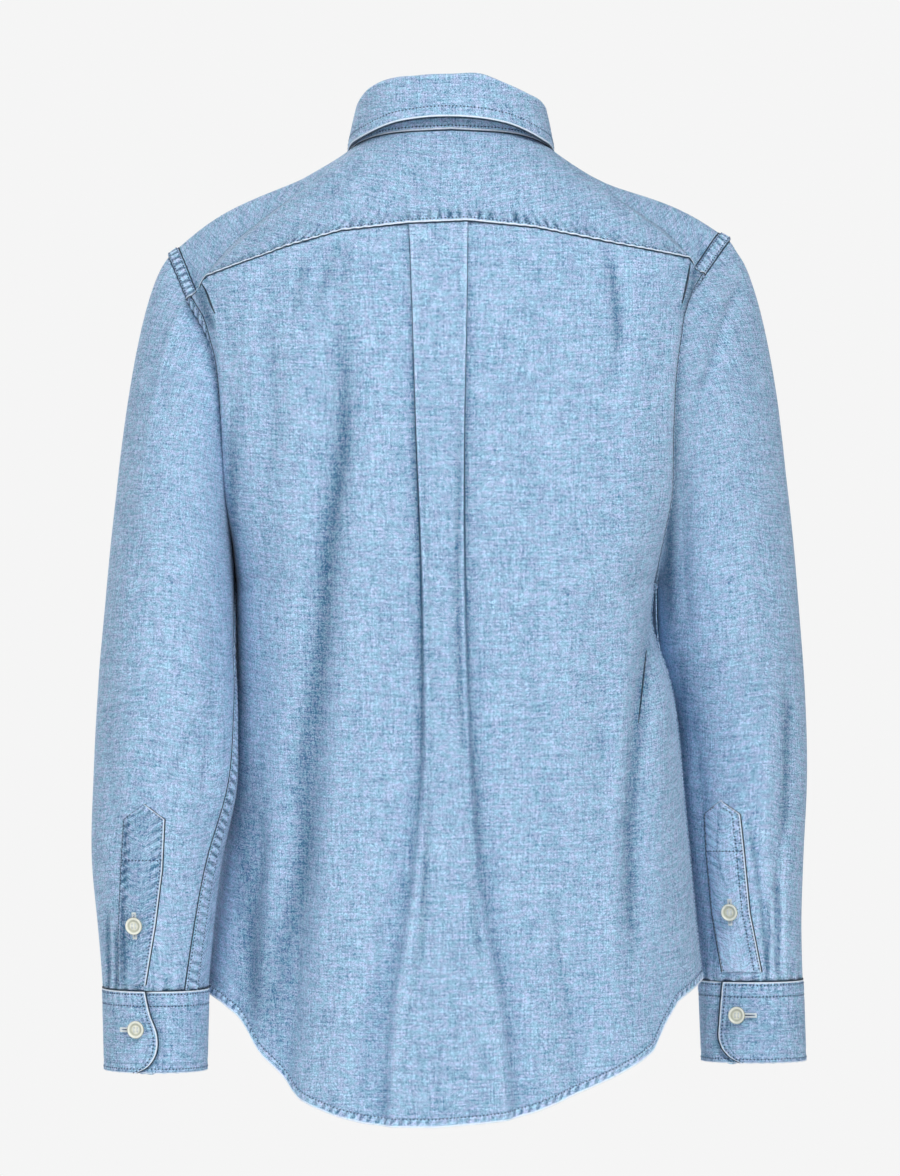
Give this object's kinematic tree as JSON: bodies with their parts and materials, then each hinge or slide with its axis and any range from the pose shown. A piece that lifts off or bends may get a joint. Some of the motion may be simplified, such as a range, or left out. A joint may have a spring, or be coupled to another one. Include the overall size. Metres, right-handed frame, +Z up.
{
  "type": "child's chambray shirt",
  "caption": "Child's long-sleeved chambray shirt with a turn-down collar, back yoke, box pleat, buttoned cuffs and a curved shirt-tail hem, filled out as worn.",
  "frame": {"origin": "the middle of the neck seam, where a wearer's neck and shoulders hold the shirt up", "axes": "+Z up, -Y out of the buttoned front, +X to the wearer's left"},
  "size_m": [0.4282, 0.212, 0.6279],
  "materials": {
    "chambray": "matte heathered plain weave",
    "cream_button": "pearly gloss"
  },
  "bodies": {
    "root": {"back": "chambray", "yoke": "chambray", "front_left": "chambray", "front_right": "chambray", "front_placket": "chambray", "collar_band": "chambray", "collar": "chambray", "sleeve_left": "chambray", "sleeve_placket_left": "chambray", "cuff_left": "chambray", "sleeve_right": "chambray", "sleeve_placket_right": "chambray", "cuff_right": "chambray", "cuff_button_left": "cream_button", "sleeve_button_left": "cream_button", "cuff_button_right": "cream_button", "sleeve_button_right": "cream_button", "front_button_1": "cream_button", "front_button_2": "cream_button", "front_button_3": "cream_button", "front_button_4": "cream_button", "front_button_5": "cream_button", "front_button_6": "cream_button", "collar_button": "cream_button"}
  },
  "joints": []
}
